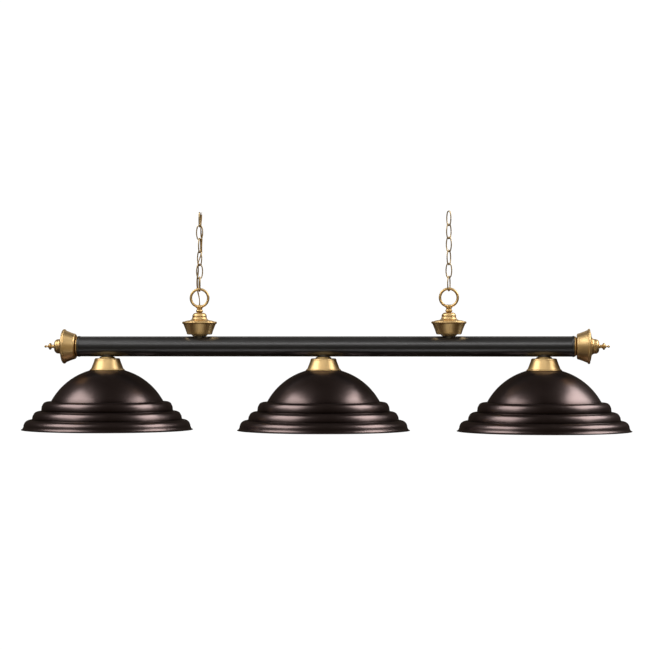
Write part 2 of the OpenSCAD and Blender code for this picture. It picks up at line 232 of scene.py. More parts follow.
def frames_along(path, closed, start_side):
    """Side and up vectors at each point of a path, carried along it without twist."""
    count = len(path)
    side = Vector(start_side)
    frames = []
    for i in range(count):
        before = path[i - 1] if closed or i > 0 else path[i]
        after = path[(i + 1) % count] if closed or i < count - 1 else path[i]
        heading = (after - before).normalized()
        side = (side - heading * side.dot(heading)).normalized()
        frames.append((side, heading.cross(side)))
    return frames


def sweep_rings(path, section, closed=False, start_side=(0, 1, 0), turn=None, swell=None):
    """Rings of points along a path. turn and swell give an angle and a scale at each point."""
    rings = []
    for i, (side, up) in enumerate(frames_along(path, closed, start_side)):
        angle = turn(i) if turn else 0
        scale = swell(i) if swell else 1
        u = side * cos(angle) + up * sin(angle)
        v = up * cos(angle) - side * sin(angle)
        rings.append([path[i] + (u * a + v * b) * scale for a, b in section])
    return rings


def add_rings(work, rings, closed=False):
    """Adds a tube through rings of points, capped where it isn't closed."""
    rows = [[work.verts.new(p) for p in ring] for ring in rings]
    for row, after in zip(rows, rows[1:] + (rows[:1] if closed else [])):
        for k in range(len(row)):
            m = (k + 1) % len(row)
            work.faces.new((row[k], row[m], after[m], after[k]))
    if not closed:
        work.faces.new(rows[0])
        work.faces.new(rows[-1])


def circle(radius, facets):
    """Round section for a sweep."""
    return [(radius * cos(2 * pi * k / facets), radius * sin(2 * pi * k / facets)) for k in range(facets)]


def combine(piece, tool, operation):
    """Boolean of piece and tool, applied; tool is removed."""
    step = piece.modifiers.new("combine", "BOOLEAN")
    step.operation = operation
    step.solver = "EXACT"
    step.object = tool
    depsgraph = bpy.context.evaluated_depsgraph_get()
    mesh = bpy.data.meshes.new_from_object(piece.evaluated_get(depsgraph))
    piece.modifiers.clear()
    piece.data = mesh
    mesh.set_sharp_from_angle(angle=CRISP_EDGE)
    bpy.data.objects.remove(tool)


def cylinder(name, radius, low, high, facets=48):
    """Drill for combine()."""
    return spun(name, [(0, low), (radius, low), (radius, high), (0, high)], facets)


def stand_in(piece, node, finish, place=None):
    """Puts a piece in place of a CAD node, on the same body, with a finish named in MATERIALS."""
    if place is not None:
        piece.matrix_world = place
    if not piece.data.materials:
        piece.data.materials.append(MATERIALS[finish])
    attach(piece, body_of(frame["nodes"][node])[0])
    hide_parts(node)


# ---------------------------------------------------------------- camera and stage
def make_camera():
    """Level with the bar and a little to the right of its middle."""
    azimuth = radians(5.5)
    distance = 4.9
    picture_width = 1.544      # metres across the picture at the bar
    eye_above_bar = 9 * MM
    aim_above_bar = 50.9 * MM
    aim_right = 3.6 * MM
    camera = bpy.data.objects.new("camera", bpy.data.cameras.new("camera"))
    camera.data.sensor_width = 36
    camera.data.lens = camera.data.sensor_width * distance / picture_width
    camera.data.clip_end = 200
    place = Vector((sin(azimuth), -cos(azimuth), 0)) * distance
    place.z = AXIS_Z + eye_above_bar
    aim = Vector((aim_right, 0, AXIS_Z + aim_above_bar))
    camera.location = place
    camera.rotation_euler = (aim - place).to_track_quat("-Z", "Y").to_euler()
    bpy.context.scene.collection.objects.link(camera)
    bpy.context.scene.camera = camera
    return azimuth


CAMERA_AZIMUTH = make_camera()


# ---------------------------------------------------------------- material tools
class Shader:
    """A material and short ways to add nodes to it."""

    def __init__(self, name):
        self.material = bpy.data.materials.new(name)
        self.material.use_nodes = True
        self.tree = self.material.node_tree
        self.surface = self.tree.nodes["Principled BSDF"]

    def add(self, kind, inputs=(), **settings):
        """Adds a node; inputs maps a socket to a value or to another node's output."""
        node = self.tree.nodes.new("ShaderNode" + kind)
        for key, value in settings.items():
            setattr(node, key, value)
        for socket, value in dict(inputs).items():
            self.feed(node.inputs[socket], value)
        return node

    def feed(self, socket, value):
        if isinstance(value, bpy.types.NodeSocket):
            self.tree.links.new(value, socket)
        else:
            socket.default_value = value

    def maths(self, operation, a, b=0.0, clamp=False):
        return self.add("Math", {0: a, 1: b}, operation=operation, use_clamp=clamp).outputs[0]

    def noise(self, scale, detail=2.0, roughness=0.5, vector=None):
        inputs = {"Scale": scale, "Detail": detail, "Roughness": roughness}
        inputs["Vector"] = vector or self.place()
        return self.add("TexNoise", inputs).outputs["Fac"]

    def place(self):
        return self.add("TexCoord").outputs["Object"]

    def round_axis(self, radial, turning, along):
        """Coordinates of a turned piece: radius, angle about Z and height, each scaled."""
        parts = self.add("SeparateXYZ", {0: self.place()}).outputs
        squares = self.maths("ADD", self.maths("POWER", parts[0], 2.0), self.maths("POWER", parts[1], 2.0))
        radius = self.maths("SQRT", squares)
        angle = self.maths("ARCTAN2", parts[1], parts[0])
        return self.add("CombineXYZ", {
            0: self.maths("MULTIPLY", radius, radial),
            1: self.maths("MULTIPLY", angle, turning),
            2: self.maths("MULTIPLY", parts[2], along)}).outputs[0]

    def ramp(self, factor, stops):
        """Colour ramp from (position, colour) stops."""
        node = self.add("ValToRGB", {0: factor})
        elements = node.color_ramp.elements
        while len(elements) < len(stops):
            elements.new(0.5)
        for element, (position, colour) in zip(elements, stops):
            element.position = position
            element.color = colour if len(colour) == 4 else (*colour, 1)
        return node.outputs[0]

    def mix(self, factor, a, b):
        node = self.add("Mix", data_type="RGBA")
        self.feed(node.inputs[0], factor)
        self.feed(node.inputs[6], a)
        self.feed(node.inputs[7], b)
        return node.outputs[2]

    def spread(self, factor, low, high):
        """Maps a 0 to 1 factor onto low to high."""
        return self.add("MapRange", {0: factor, 3: low, 4: high}).outputs[0]

    def hollows(self, distance):
        """1 in the open and lower in creases."""
        return self.add("AmbientOcclusion", {"Distance": distance}, samples=6).outputs["AO"]

    def bump(self, height, strength, distance, below=None):
        inputs = {"Height": height, "Strength": strength, "Distance": distance}
        if below is not None:
            inputs["Normal"] = below
        return self.add("Bump", inputs).outputs["Normal"]

    def set(self, **values):
        for key, value in values.items():
            self.feed(self.surface.inputs[key.replace("_", " ")], value)
        return self.material


def rgb(red, green, blue):
    return (red, green, blue, 1)


def brass_material(name, bright, dark, turned, crease=5):
    """Antique brass: brushed, lacquered, faintly clouded by age, and darkened brown in its creases by painted
    shade along with antique patina.

    turned gives it the fine rings of a lathe, and crease is the reach of its painted crease shade in
    millimetres.
    """
    s = Shader(name)
    roughness = 0.42
    blotches = s.noise(90, 4, 0.6)
    if turned:
        lines = s.noise(1.0, 3, 0.7, s.round_axis(1500, 1.5, 1500))
    else:
        lines = s.noise(900, 3, 0.6)
    # Painted shade: the colour runs toward dark brown in creases and hollows found by ambient occlusion,
    # along with antique patina there
    open_air = s.hollows(crease * MM)
    clear = s.ramp(open_air, [(0.30, (0, 0, 0)), (0.80, (1, 1, 1))])
    crease_shade_and_age = s.maths("MULTIPLY", clear, s.spread(blotches, 0.88, 1.08))
    grain_and_crease_shade = s.maths("ADD", crease_shade_and_age, s.spread(lines, -0.10, 0.10), clamp=True)
    colour = s.mix(grain_and_crease_shade, dark, bright)
    finish = s.maths("ADD", s.spread(lines, -0.04, 0.05), s.spread(crease_shade_and_age, roughness + 0.14, roughness))
    s.set(Base_Color=colour, Metallic=1.0, Roughness=finish,
          Normal=s.bump(lines, 0.10, 0.05 * MM, s.bump(blotches, 0.06, 0.3 * MM)))
    s.set(Coat_Weight=0.2, Coat_Roughness=0.3)
    if turned:
        s.set(Anisotropic=0.2, Tangent=s.add("Tangent", direction_type="RADIAL", axis="Z").outputs[0])
    return s.material


def bronze_material():
    """Dark bronze lacquer on spun steel: fine metal flake under a satin coat, with painted shade in its
    creases.
    """
    s = Shader("bronze_shade")
    cloud = s.noise(28, 3, 0.6)
    flake = s.noise(3600, 2, 0.8)
    lines = s.noise(1.0, 2, 0.6, s.round_axis(420, 0.6, 420))
    tone = s.maths("ADD", s.spread(cloud, 0.25, 0.75), s.spread(flake, -0.14, 0.14), clamp=True)
    lacquer = s.mix(tone, rgb(0.110, 0.078, 0.074), rgb(0.205, 0.153, 0.146))
    # Painted shade: creases between the steps and round the fitter cup run to near black, found by ambient
    # occlusion
    clear = s.ramp(s.hollows(16 * MM), [(0.66, (0, 0, 0)), (0.95, (1, 1, 1))])
    colour = s.mix(clear, rgb(0.022, 0.012, 0.009), lacquer)
    satin = s.maths("ADD", s.spread(cloud, 0.27, 0.32), s.spread(flake, -0.03, 0.03))
    s.set(Base_Color=colour, Metallic=0.95, Roughness=satin,
          Normal=s.bump(flake, 0.04, 0.02 * MM, s.bump(lines, 0.08, 0.05 * MM)))
    return s.set(Coat_Weight=s.spread(clear, 0.0, 0.15), Coat_Roughness=0.25, Coat_IOR=1.45)


def enamel_material():
    """Off-white enamel inside the shades."""
    s = Shader("shade_enamel")
    speckle = s.noise(400, 3, 0.6)
    colour = s.mix(speckle, rgb(0.78, 0.76, 0.71), rgb(0.86, 0.84, 0.79))
    return s.set(Base_Color=colour, Roughness=s.spread(speckle, 0.30, 0.42),
                 Normal=s.bump(s.noise(160, 2), 0.08, 0.2 * MM))


def black_material(name, roughness=0.38, colour=(0.024, 0.024, 0.024), coat=0.8):
    """Satin black paint or plastic with a fine texture."""
    s = Shader(name)
    cloud = s.noise(30, 3, 0.6)
    pebble = s.noise(1500, 2, 0.6)
    dark = rgb(*[c * 0.75 for c in colour])
    light = rgb(*[c * 1.3 for c in colour])
    satin = s.spread(cloud, roughness - 0.04, roughness + 0.05)
    s.set(Base_Color=s.mix(cloud, dark, light), Roughness=satin, Normal=s.bump(pebble, 0.12, 0.04 * MM))
    return s.set(Specular_IOR_Level=0.9, Coat_Weight=coat, Coat_Roughness=0.32, Coat_IOR=1.75)


def plastic_material(name, colour, roughness):
    """Moulded plastic with a slight mottle."""
    s = Shader(name)
    mottle = s.noise(600, 3, 0.6)
    dark = rgb(*[c * 0.8 for c in colour])
    return s.set(Base_Color=s.mix(mottle, dark, rgb(*colour)),
                 Roughness=s.spread(mottle, roughness, roughness + 0.12),
                 Normal=s.bump(mottle, 0.12, 0.05 * MM))


def steel_material(name, colour, roughness):
    """Plated steel with light spotting."""
    s = Shader(name)
    spots = s.noise(260, 4, 0.65)
    dull = rgb(*[c * 0.7 for c in colour])
    return s.set(Base_Color=s.mix(spots, dull, rgb(*colour)), Metallic=1.0,
                 Roughness=s.spread(spots, roughness, roughness + 0.16),
                 Normal=s.bump(spots, 0.15, 0.05 * MM))


def glass_material():
    """Frosted white bulb: a bright, slightly clouded skin that lets some light through."""
    s = Shader("bulb_glass")
    cloud = s.noise(90, 3, 0.6)
    colour = s.mix(cloud, rgb(0.86, 0.85, 0.81), rgb(0.93, 0.92, 0.89))
    s.set(Base_Color=colour, Roughness=s.spread(cloud, 0.18, 0.28),
          Subsurface_Weight=0.5, Subsurface_Scale=4 * MM)
    return s.set(Coat_Weight=0.4, Coat_Roughness=0.08, Normal=s.bump(cloud, 0.05, 0.1 * MM))


def cord_material():
    """Clear gold jacket over two stranded cores: the strands show as slanting lines."""
    s = Shader("lamp_cord")
    uv = s.add("SeparateXYZ", {0: s.add("UVMap").outputs[0]}).outputs
    strands_round, strands_along = 9, 2600
    slant = s.maths("ADD", s.maths("MULTIPLY", uv[0], 2 * pi * strands_round),
                    s.maths("MULTIPLY", uv[1], strands_along))
    strands = s.spread(s.maths("SINE", slant), 0.0, 1.0)
    cloud = s.noise(140, 3, 0.6)
    tone = s.maths("ADD", s.maths("MULTIPLY", strands, 0.45), s.maths("MULTIPLY", cloud, 0.55), clamp=True)
    colour = s.ramp(tone, [(0.2, (0.26, 0.13, 0.03)), (0.5, (0.50, 0.30, 0.08)), (0.85, (0.78, 0.55, 0.22))])
    s.set(Base_Color=colour, Metallic=0.35, Roughness=s.spread(cloud, 0.24, 0.38),
          Normal=s.bump(strands, 0.12, 0.1 * MM))
    return s.set(Coat_Weight=0.6, Coat_Roughness=0.14)


MATERIALS = {
    "black_tube": black_material("black_tube"),
    "antique_brass": brass_material("antique_brass", rgb(0.87, 0.60, 0.27), rgb(0.20, 0.115, 0.032), True),
    "ring_brass": brass_material("ring_brass", rgb(0.95, 0.66, 0.28), rgb(0.34, 0.20, 0.06), True, 1.2),
    "cast_brass": brass_material("cast_brass", rgb(0.90, 0.62, 0.27), rgb(0.22, 0.13, 0.04), False),
    "chain_brass": brass_material("chain_brass", rgb(0.72, 0.54, 0.29), rgb(0.17, 0.11, 0.045), False, 3),
    "bronze_shade": bronze_material(),
    "shade_enamel": enamel_material(),
    "phenolic": plastic_material("phenolic", (0.030, 0.026, 0.023), 0.3),
    "steel": steel_material("steel", (0.62, 0.61, 0.58), 0.3),
    "bulb_metal": steel_material("bulb_metal", (0.76, 0.75, 0.73), 0.22),
    "bulb_glass": glass_material(),
    "plug_plastic": black_material("plug_plastic", 0.34, (0.014, 0.014, 0.014), 0.2),
    "sleeve_plastic": plastic_material("sleeve_plastic", (0.78, 0.74, 0.60), 0.4),
    "wire_insulation": plastic_material("wire_insulation", (0.22, 0.22, 0.22), 0.35),
    "lamp_cord": cord_material(),
}


# ---------------------------------------------------------------- the supply cord
CORD_W = 4.0 * MM
# Millimetres sideways, backward and up along the cord's route, from the left chain's axis
CORD_ROUTE = [
    (4.4, 0.4, -4), (4.5, -0.4, -10), (4.4, -1.6, -18), (4.1, -3.4, -25), (3.9, -4.1, -31),
    (3.4, -2.9, -39), (3.3, 0, -47), (3.6, 2.4, -55), (4.6, 3.6, -62), (4.4, 2.5, -70),
    (4.2, 1.6, -78), (4.2, 1.4, -86), (4.4, 1.6, -93), (2.6, 1.2, -101), (0, 0.2, -109),
    (-1.7, -3.3, -116), (-2.3, -5.9, -124), (-2.4, -4.6, -132), (-3, -1.6, -140),
    (-4.4, 0.9, -148), (-5.5, 1.9, -155), (-6, 1.4, -163), (-6, 1.8, -170),
    (-5.9, 4, -177), (-5.7, 5.9, -183), (-4.5, 5.7, -190), (-2.4, 3.2, -197),
    (-0.7, 1.1, -204), (0, 0, -211), (0, 0, -222), (0, 0, -250), (0, 0, -278),
    (0, 0, -306), (1.2, 0, -312), (4.7, 0, -317), (10, 0, -321), (16, 0, -322), (23, 0, -322),
    (30, 0, -322)]


def smooth_path(points, spacing):
    """Curve through the points, sampled about every spacing."""
    path = []
    last = len(points) - 1
    for i in range(last):
        p0, p1, p2, p3 = points[max(i - 1, 0)], points[i], points[i + 1], points[min(i + 2, last)]
        steps = max(1, round((p2 - p1).length / spacing))
        for k in range(steps):
            t = k / steps
            path.append(0.5 * (2 * p1 + (p2 - p0) * t + (2 * p0 - 5 * p1 + 4 * p2 - p3) * t ** 2
                               + (3 * p1 - p0 - 3 * p2 + p3) * t ** 3))
    path.append(points[last])
    return path


def twin_section():
    """Two cores side by side in one jacket, as wide as the cord."""
    core_r = 0.27 * CORD_W
    core_x = CORD_W / 2 - core_r
    waist = 0.68 * core_r
    right = [(core_x + core_r * cos(radians(a)), core_r * sin(radians(a))) for a in range(-120, 121, 20)]
    left = [(-x, -y) for x, y in right]
    return right + [(0, waist)] + left + [(0, -waist)]


def cord_piece(name, rings, first, last, spacing):
    """One length of the cord, with its strands' turn and distance along it as UV."""
    work = bmesh.new()
    add_rings(work, rings[first:last + 1])
    layer = work.loops.layers.uv.new("cord")
    work.verts.index_update()
    around = len(rings[0])
    for face in work.faces:
        for loop in face.loops:
            row, k = divmod(loop.vert.index, around)
            loop[layer].uv = (k / around, (first + row) * spacing)
    return finish_mesh(name, work)


def make_cord():
    """The cord in lengths, each on one body or bending between two."""
    spacing = 1.0 * MM
    axis_x = middle("left_top_link").x
    route = [Vector((axis_x + x * MM, y * MM, z * MM)) for x, y, z in CORD_ROUTE]
    path = smooth_path(route, spacing)
    turns_per_metre = 5.5
    first_turn = 0.5
    rings = sweep_rings(path, twin_section(), start_side=(1, 0, 0),
                        turn=lambda i: first_turn + 2 * pi * turns_per_metre * spacing * i)
    cut_heights = (-47, -80, -165, -209)
    cuts = [next(i for i, point in enumerate(path) if point.z < height * MM) for height in cut_heights]
    cuts = [0] + cuts + [len(path) - 1]
    names = ("cord_top", "cord_second", "cord_upper", "cord_lower", "cord_inside")
    pieces = [cord_piece(n, rings, a, b, spacing) for n, a, b in zip(names, cuts, cuts[1:])]
    for piece in pieces:
        piece.data.materials.append(MATERIALS["lamp_cord"])
        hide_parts("supply_cord")
    # Body above and below each bend, and the heights in millimetres where it starts and ends
    blends = {
        "cord_top": ("top_links", "left_swing_link", -25, -37),
        "cord_second": ("left_swing_link", "left_chain", -55, -69),
        "cord_lower": ("left_chain", "lamp", -176, -198)}
    for piece in pieces:
        if piece.name in blends:
            upper, lower, start, end = blends[piece.name]
            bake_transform(piece, upper, lower, start=(axis_x, 0, start * MM), end=(axis_x, 0, end * MM))
    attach(pieces[2], "left_chain")
    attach(pieces[4], "lamp")
    return route[0]


def make_stripped_leads(top):
    """Two bared cores at the cord's upper end, each a twist of strands."""
    length = 6.5 * MM
    bundle_r = 0.5 * MM
    apart = 0.9 * MM           # from the cord's middle to each core
    inside = 0.5 * MM          # start of the cores below the jacket's end
    lobe = 0.12                # depth of the grooves between the strands you see
    outer_strands = 6
    facets = 48
    twist = 2.4
    steps = 24
    section = []
    for k in range(facets):
        a = 2 * pi * k / facets
        r = bundle_r * (1 - lobe + lobe * cos(outer_strands * a))
        section.append((r * cos(a), r * sin(a)))
    for sign, name in ((-1, "cord_lead_1"), (1, "cord_lead_2")):
        base = top + Vector((sign * apart, 0, -inside))
        path = [base + Vector((0, 0, length * i / steps)) for i in range(steps + 1)]
        work = bmesh.new()
        rings = sweep_rings(path, section, start_side=(1, 0, 0), turn=lambda i: twist * i / steps)
        add_rings(work, rings)
        lead = finish_mesh(name, work)
        lead.data.materials.append(MATERIALS["chain_brass"])
        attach(lead, "top_links")
        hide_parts("supply_cord")


make_stripped_leads(make_cord())


# ---------------------------------------------------------------- chains
LINK_WIRE = 3.0 * MM
LINK_END_R = 5.7 * MM      # middle line of a link's round ends
LINK_SIDE_R = 42.7 * MM    # middle line of its long sides
LINK_BLEND = 18            # degrees where a side meets an end
LINKS = 6
# Turn of each link about the vertical, from the top down
LINK_TURNS = {"left": (88, -4, 80, -40, 28, -72),
              "right": tuple(-48 + 95.6 * k for k in range(LINKS))}


def link_path():
    """Middle line of an oval link in the XZ plane: two long curved sides and two round ends."""
    steps = 14
    arm = LINK_SIDE_R - LINK_END_R
    side_x = -arm * cos(radians(LINK_BLEND))
    end_z = arm * sin(radians(LINK_BLEND))
    quarter = arc((side_x, 0), LINK_SIDE_R, 0, LINK_BLEND, steps)
    quarter += arc((0, end_z), LINK_END_R, LINK_BLEND, 90, steps)[1:]
    half = quarter + [(-x, z) for x, z in reversed(quarter[:-1])]
    whole = half + [(x, -z) for x, z in reversed(half[1:-1])]
    return [Vector((x, 0, z)) for x, z in whole]


def make_link(name, place):
    """Bent wire link with the butt of its ends halfway down one side."""
    butt = 0
    butt_scale = 0.86
    work = bmesh.new()
    rings = sweep_rings(link_path(), circle(LINK_WIRE / 2, 20), closed=True,
                        swell=lambda i: butt_scale if i == butt else 1)
    add_rings(work, rings, closed=True)
    link = finish_mesh(name, work)
    link.matrix_world = place
    return link


def make_chains():
    """Six links a side; the lower four share one node."""
    for side in SIDES:
        top = middle(f"{side}_top_link")
        pitch = top.z - middle(f"{side}_second_link").z
        for k, turn in enumerate(LINK_TURNS[side]):
            hang = Matrix.Translation((top.x, 0, top.z - k * pitch))
            place = hang @ Matrix.Rotation(radians(turn), 4, "Z")
            node = f"{side}_" + ("top_link", "second_link", "chain_links")[min(k, 2)]
            link = make_link(f"{side}_link_{k + 1}", place)
            stand_in(link, node, "chain_brass")


make_chains()


# ---------------------------------------------------------------- turned brass
def neck_outline(near, far, radius):
    """Small ring that widens from the saddle to the cup."""
    height = far - near
    foot_r = radius - 3.2 * MM
    waist_r = radius - 2.4 * MM
    brow_r = radius - 0.2 * MM
    return rounded([
        (NIPPLE_HOLE_R, near, 0), (foot_r, near, 0.3 * MM), (waist_r, near + 0.12 * height, 0.4 * MM),
        (brow_r, near + 0.8 * height, 0.8 * MM), (radius, far, 0.3 * MM), (NIPPLE_HOLE_R, far, 0)])


def cup_outline(near, far, radius):
    """Spun cup from its narrow end at near to its rolled rim at far."""
    narrow_r = 30.8 * MM
    corner = 4 * MM
    bead = 3 * MM
    flare = 1.1            # above 1, the wall curves outward
    steps = 24
    bead_at = (radius - bead, far - bead)
    foot = (narrow_r, near + corner)
    top = (bead_at[0] + 0.2 * MM, bead_at[1] - bead)
    wall = [(foot[0] + (top[0] - foot[0]) * (i / steps) ** flare, foot[1] + (top[1] - foot[1]) * i / steps)
            for i in range(1, steps + 1)]
    outer = [(NIPPLE_HOLE_R, near)] + arc((narrow_r - corner, near + corner), corner, -90, 0, 8) + wall
    roll = arc(bead_at, bead, -80, 236, 30)
    inner = [p for p in beside(outer, BRASS_SHEET) if p[1] < roll[-1][1] - 0.2 * MM]
    return outer + roll + inner[::-1]


def dome_outline(near, far, edge_r):
    """Lid on the cup: skirt, flare with a crease, and a small rounded cap."""
    cap_r = 17.3 * MM
    round_r = 8.8 * MM
    flare_r = 7.6 * MM
    skirt_r = 29.2 * MM
    skirt_h = 5.5 * MM
    edge = 2.6 * MM
    crease = 0.6 * MM
    cap_z = far - round_r
    crease_z = cap_z - 0.9 * MM
    flare_z = cap_z - 1.4 * MM
    outer = [(NIPPLE_HOLE_R, far)] + arc((cap_r - round_r, cap_z), round_r, 90, 0, 14)
    outer += [(cap_r - 0.1 * MM, cap_z - 0.5 * MM), (cap_r - crease, crease_z), (cap_r - 0.1 * MM, flare_z)]
    outer += arc((cap_r + flare_r, flare_z), flare_r, 184, 262, 12)
    outer += [(skirt_r, near + skirt_h)] + arc((edge_r - edge, near + 2 * MM), edge, 72, 0, 6)
    outer += [(edge_r, near)]
    return outer + beside(outer, -BRASS_SHEET)[::-1]


def end_ring_outline(near, far, radius):
    """Ring that narrows from the plug's flange to the cup."""
    bore = 3.0 * MM
    narrow_r = radius - 3.7 * MM
    return rounded([
        (bore, near, 0), (radius - 0.5 * MM, near, 0.3 * MM), (radius, near + 0.6 * MM, 0.5 * MM),
        (radius, near + 2 * MM, 0.8 * MM), (narrow_r, far, 0.5 * MM), (bore, far, 0)])


def plug_outline(tube_end, far, radius):
    """Stub inside the tube and the flange that covers its end."""
    bore = 2.7 * MM
    stub_l = 8 * MM
    stub_r = TUBE_R - 1.7 * MM
    edge = 0.8 * MM
    return rounded([
        (bore, tube_end - stub_l, 0), (stub_r, tube_end - stub_l, 0.6 * MM), (stub_r, tube_end, 0),
        (radius, tube_end, edge), (radius, far, edge), (bore, far, 0)])


def finial_outline(near, far):
    """Stem, bead, cone, thin neck and tip bead."""
    stem_r = 4.4 * MM
    stem_l = 8 * MM
    bead_r = 8.2 * MM
    bead = 2.9 * MM
    tip_r = 3.1 * MM
    bead_z = near + stem_l + bead
    cone_z = bead_z + 7 * MM
    tip_z = far - tip_r
    stem = [(0, near), (stem_r + 0.8 * MM, near), (stem_r + 0.1 * MM, near + 1.2 * MM),
            (stem_r - 0.3 * MM, near + 3.5 * MM), (stem_r - 0.4 * MM, near + 6.5 * MM),
            (stem_r + 0.2 * MM, bead_z - bead - 0.3 * MM)]
    cone = [(5.2 * MM, bead_z + 3.0 * MM), (4.2 * MM, bead_z + 4.2 * MM), (2.9 * MM, cone_z - 1.9 * MM),
            (2.0 * MM, cone_z - 0.8 * MM), (1.7 * MM, cone_z)]
    return (stem + arc((bead_r - bead, bead_z), bead, -80, 50, 12) + cone
            + arc((0, tip_z), tip_r, -56, 90, 14))


def make_turned_brass():
    """Every spun or turned brass piece of the couplings, fitters and ends."""
    stacks = [(hanger_place(s), s, ("hanger_neck", "hanger_cup", "hanger_dome")) for s in SIDES]
    stacks += [(light_place(s), s, ("fitter_neck", "fitter_cup")) for s in LIGHTS]
    stacks += [(end_place(s), s, ("end_ring", "end_cup", "end_dome", "finial")) for s in SIDES]
    for place, side, kinds in stacks:
        for kind in kinds:
            node = f"{side}_{kind}"
            near, far, radius = reach(node, place)
            if kind.endswith("neck"):
                outline = neck_outline(near, far, radius)
            elif kind.endswith("cup"):
                outline = cup_outline(near, far, radius)
            elif kind.endswith("dome"):
                outline = dome_outline(near, far, radius)
            elif kind == "end_ring":
                outline = end_ring_outline(near, far, radius)
            else:
                outline = finial_outline(near, far)
            finish = "ring_brass" if kind.endswith(("neck", "ring")) else "antique_brass"
            stand_in(spun(f"{node}_spun", outline), node, finish, place)


def make_plugs():
    """Black plug in each end of the tube."""
    for side in SIDES:
        place = end_place(side)
        _, far, radius = reach("tube_plugs", place)
        plug = spun(f"{side}_tube_plug", plug_outline(TUBE_L / 2, far, radius))
        stand_in(plug, "tube_plugs", "plug_plastic", place)


make_turned_brass()
make_plugs()


# ---------------------------------------------------------------- hanging loops
def collar_outline(low):
    """Turned collar: two beads on a short neck."""
    bead_r = 4.1 * MM
    bead_x = 4.2 * MM
    top_r = 4.4 * MM
    neck_r = 6.3 * MM
    neck_z = low + 8.6 * MM
    top_z = low + 14.3 * MM
    steps = 14
    return ([(0, low)] + arc((bead_x, low + bead_r), bead_r, -90, 62, steps)
            + [(neck_r, neck_z)]
            + arc((top_r, top_z), top_r, -62, 88, steps) + [(0, top_z + top_r)])


def make_hanging_loops():
    """Collar and ring in one casting, bored for the nipple and the cord."""
    for side in SIDES:
        node = f"{side}_hanging_loop"
        place = hanger_place(side)
        low, high, _ = reach(node, place)
        ring_outer = extent(node).x / 2
        wire = 6.2 * MM
        bore = 3.5 * MM
        ring_steps = 112
        loop = spun(f"{node}_cast", collar_outline(low), MOULDED)
        work = bmesh.new()
        centre = Vector((0, 0, high - ring_outer))
        ring_r = ring_outer - wire / 2
        turns = [2 * pi * k / ring_steps for k in range(ring_steps)]
        path = [centre + Vector((ring_r * cos(a), 0, ring_r * sin(a))) for a in turns]
        add_rings(work, sweep_rings(path, circle(wire / 2, 32), closed=True), closed=True)
        combine(loop, finish_mesh("ring", work), "UNION")
        combine(loop, cylinder("bore", bore, low - 1 * MM, centre.z - ring_r + wire), "DIFFERENCE")
        stand_in(loop, node, "cast_brass", place)


make_hanging_loops()


# ---------------------------------------------------------------- tube
def make_tube():
    """Drilled tube with lightly rolled ends."""
    wall = 1.6 * MM
    edge = 0.5 * MM
    beside_hole = 9 * MM       # rings of vertices here keep each hole's cut local
    half = TUBE_L / 2
    up = [hanger_place(s).translation.x for s in SIDES]
    down = [light_place(s).translation.x for s in LIGHTS]
    marks = sorted(x + offset for x in up + down for offset in (-beside_hole, beside_hole))
    inner_r = TUBE_R - wall
    outline = [(inner_r, -half + edge), (inner_r + edge, -half),
               (TUBE_R - edge, -half), (TUBE_R, -half + edge)]
    outline += [(TUBE_R, x) for x in marks]
    outline += [(TUBE_R, half - edge), (TUBE_R - edge, half), (inner_r + edge, half), (inner_r, half - edge)]
    outline += [(inner_r, x) for x in reversed(marks)]
    tube = spun("tube_drawn", outline)
    place = Matrix.Translation((0, 0, AXIS_Z)) @ Matrix.Rotation(pi / 2, 4, "Y")
    tube.matrix_world = place
    for x, sign in [(x, 1) for x in up] + [(x, -1) for x in down]:
        drill = cylinder("drill", NIPPLE_HOLE_R, 0, 2 * TUBE_R)
        drill.matrix_world = Matrix.Translation((x, 0, AXIS_Z)) @ Matrix.Diagonal((1, sign, sign, 1))
        bpy.context.view_layer.update()
        combine(tube, drill, "DIFFERENCE")
    stand_in(tube, "tube", "black_tube")


make_tube()


# ---------------------------------------------------------------- shades
def step_points(inner_r, top, side_r, round_w, round_h, waist, foot):
    """One step: a flat top, a rounded shoulder, a sloping side and an upright skirt down to its foot."""
    shoulder_end = radians(72)
    steps = 10
    turns = [shoulder_end * i / steps for i in range(steps + 1)]
    shoulder = [(side_r - round_w * (1 - sin(a)), top + round_h * (1 - cos(a))) for a in turns]
    return [(inner_r, top)] + shoulder + [waist, foot]


def shade_outline(near, rim_z, rim_r):
    """Outer and inner face of the spun shade, from its hole to its lip."""
    sheet = 1.0 * MM
    hole_r = 20.6 * MM
    seat_r = 42.0 * MM
    dome_r = 152.4 * MM
    dome_z = rim_z + 4.1 * MM
    crown, foot = 73.3, 29.3   # degrees up from the dome's centre, where it starts and ends
    dome_steps = 40
    outer = [(hole_r, near), (seat_r, near), (seat_r + 1 * MM, near - 0.7 * MM)]
    for i in range(dome_steps + 1):
        a = radians(crown + (foot - crown) * i / dome_steps)
        outer.append((dome_r * cos(a), dome_z - dome_r * sin(a)))
    # Each step in millimetres: inner radius of its top, its height above the rim, side radius, width and
    # height of its shoulder, then radius and height of its waist, and of its foot
    steps = [(134.4, 67.8, 154.1, 12, 9.4, 156.2, 56, 157.4, 45.4),
             (158.4, 45.2, 175.7, 14.5, 10.2, 177.6, 33.5, 179.3, 24.8),
             (180.4, 24.6, 198.5, 16, 14, 199.0, 11.5, 199.2, 8.6)]
    for inner_r, rise, side_r, round_w, round_h, waist_r, waist, foot_r, foot_rise in steps:
        outer += step_points(inner_r * MM, rim_z - rise * MM, side_r * MM, round_w * MM, round_h * MM,
                             (waist_r * MM, rim_z - waist * MM), (foot_r * MM, rim_z - foot_rise * MM))
    outer += [(201.0 * MM, rim_z - 4.2 * MM), (202.4 * MM, rim_z - 2.4 * MM), (rim_r, rim_z - sheet)]
    return outer, beside(outer, sheet)


